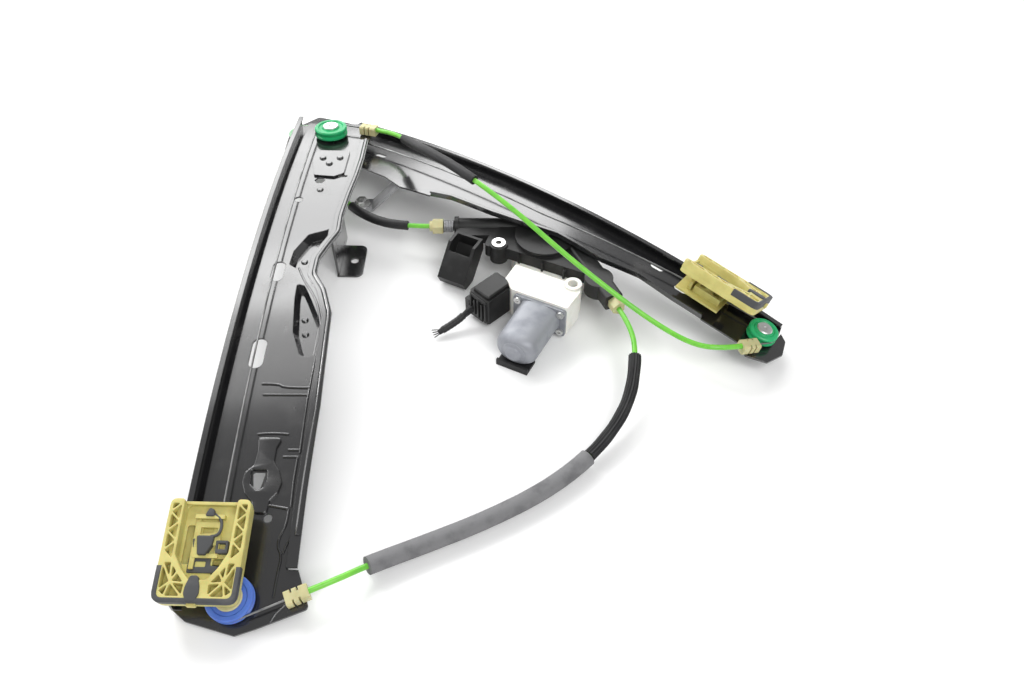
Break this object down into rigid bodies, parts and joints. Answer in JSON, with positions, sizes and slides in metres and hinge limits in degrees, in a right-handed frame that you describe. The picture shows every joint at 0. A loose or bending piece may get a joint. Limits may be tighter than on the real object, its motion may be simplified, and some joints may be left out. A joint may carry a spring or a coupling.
{
  "type": "window regulator",
  "caption": "Twin-rail cable window regulator: two bowed steel rails with glass carriers, pulleys and cable conduits, driven by a worm-gear motor and cable drum.",
  "frame": {"origin": "under the middle of the part without its cords, at the height of its lowest face", "axes": "+Z away from the surface it lies on, +Y towards the upper rail ends, +X across the part"},
  "size_m": [0.49, 0.6266, 0.1122],
  "materials": {
    "black_steel": "gloss e-coat",
    "grey_steel": "zinc plated",
    "bright_steel": "bright",
    "cable_steel": "greased strand",
    "natural_nylon": "satin",
    "yellow_nylon": "satin",
    "green_nylon": "satin",
    "pale_green_nylon": "satin",
    "blue_nylon": "satin",
    "green_sheath": "satin",
    "black_plastic": "moulded",
    "grey_rubber": "matt",
    "black_rubber": "matt",
    "grey_foam": "foam",
    "motor_steel": "satin plated",
    "cream_plastic": "moulded",
    "copper": "drawn",
    "magnet": "sintered",
    "core_steel": "laminated"
  },
  "bodies": {
    "base": {"brush_holder": "black_plastic", "cable_ends": "cable_steel", "cable_rail_1": "cable_steel", "cable_rail_2": "cable_steel", "conduit_a": "green_sheath", "conduit_b": "green_sheath", "conduit_c": "green_sheath", "conduit_end_1_lower": "natural_nylon", "conduit_end_1_upper": "natural_nylon", "conduit_end_2_lower": "natural_nylon", "conduit_end_2_upper": "natural_nylon", "connector": "black_plastic", "connector_lid": "black_plastic", "drum_bush": "bright_steel", "drum_housing": "black_plastic", "end_bearing": "copper", "ferrule_a": "natural_nylon", "ferrule_b": "natural_nylon", "gear_cover": "cream_plastic", "gear_housing": "cream_plastic", "harness": "black_rubber", "magnets": "magnet", "motor_can": "motor_steel", "motor_flange": "motor_steel", "motor_screws": "bright_steel", "pulley_1_lower_rivet": "natural_nylon", "pulley_1_upper_rivet": "bright_steel", "pulley_2_lower_rivet": "bright_steel", "pulley_2_upper_rivet": "bright_steel", "rail_1": "black_steel", "rail_1_foot": "black_steel", "rail_1_plate": "black_steel", "rail_2": "black_steel", "rail_2_strap": "grey_steel", "rubber_foot": "black_rubber", "sleeve_a": "black_rubber", "sleeve_b_foam": "grey_foam", "sleeve_b_ribbed": "black_rubber", "sleeve_c": "black_rubber", "tension_spring": "grey_steel", "weld_nut": "bright_steel"},
    "rotor": {"worm_shaft": "bright_steel", "armature": "core_steel", "commutator": "copper"},
    "drum": {"drum": "natural_nylon", "output_shaft": "bright_steel", "damper": "black_rubber", "worm_wheel": "natural_nylon"},
    "carrier_1": {"carrier_1_slider": "yellow_nylon", "carrier_1_glass_holder": "yellow_nylon", "carrier_1_trim": "grey_rubber", "carrier_1_latch": "grey_rubber"},
    "carrier_2": {"carrier_2_slider": "yellow_nylon", "carrier_2_glass_holder": "yellow_nylon", "carrier_2_trim": "grey_rubber", "carrier_2_latch": "grey_rubber"},
    "pulley_1_upper": {"pulley_1_upper": "green_nylon"},
    "pulley_1_lower": {"pulley_1_lower": "blue_nylon"},
    "pulley_2_upper": {"pulley_2_upper": "pale_green_nylon"},
    "pulley_2_lower": {"pulley_2_lower": "green_nylon"}
  },
  "joints": [
    {"name": "motor_spin", "type": "hinge", "parent": "base", "child": "rotor", "pos_m": [0.06429, 0.05398, 0.018], "axis": [0.454, 0.891, 0], "range_deg": [0, 48480.04]},
    {"name": "drum_spin", "type": "hinge", "parent": "base", "child": "drum", "pos_m": [0.03533, 0.06873, 0], "axis": [0, 0, -1], "range_deg": [0, 664.77]},
    {"name": "carrier_1_lift", "type": "hinge", "parent": "base", "child": "carrier_1", "pos_m": [-0.22711, 0.0552, -1.29596], "axis": [-0.9996, 0.0267, 0], "range_deg": [0, 10.83]},
    {"name": "carrier_2_lift", "type": "hinge", "parent": "base", "child": "carrier_2", "pos_m": [-0.08487, -0.0197, -1.29616], "axis": [-0.5883, -0.7966, 0.1392], "range_deg": [0, 10.83]},
    {"name": "pulley_1_upper_spin", "type": "hinge", "parent": "base", "child": "pulley_1_upper", "pos_m": [-0.1843, 0.22279, 0.04547], "axis": [-0.0033, -0.1247, -0.9922], "range_deg": [0, 954.64]},
    {"name": "pulley_1_lower_spin", "type": "hinge", "parent": "base", "child": "pulley_1_lower", "pos_m": [-0.19302, -0.29063, 0.01133], "axis": [0.0068, 0.2549, -0.9669], "range_deg": [0, 924.46]},
    {"name": "pulley_2_upper_spin", "type": "hinge", "parent": "base", "child": "pulley_2_upper", "pos_m": [-0.21855, 0.24703, 0.02345], "axis": [-0.0772, 0.2266, 0.9709], "range_deg": [0, 954.64]},
    {"name": "pulley_2_lower_spin", "type": "hinge", "parent": "base", "child": "pulley_2_lower", "pos_m": [0.2214, -0.04334, 0.02066], "axis": [0.2361, -0.0046, 0.9717], "range_deg": [0, 1187.1]}
  ],
  "couplings": [
    {"joint": "drum_spin", "follows": "motor_spin", "ratio": 0.013699},
    {"joint": "carrier_1_lift", "follows": "motor_spin", "ratio": 0.00022324},
    {"joint": "carrier_2_lift", "follows": "motor_spin", "ratio": 0.00022324},
    {"joint": "pulley_1_upper_spin", "follows": "motor_spin", "ratio": 0.019672},
    {"joint": "pulley_1_lower_spin", "follows": "motor_spin", "ratio": 0.01905},
    {"joint": "pulley_2_upper_spin", "follows": "motor_spin", "ratio": 0.019672},
    {"joint": "pulley_2_lower_spin", "follows": "motor_spin", "ratio": 0.024462}
  ]
}
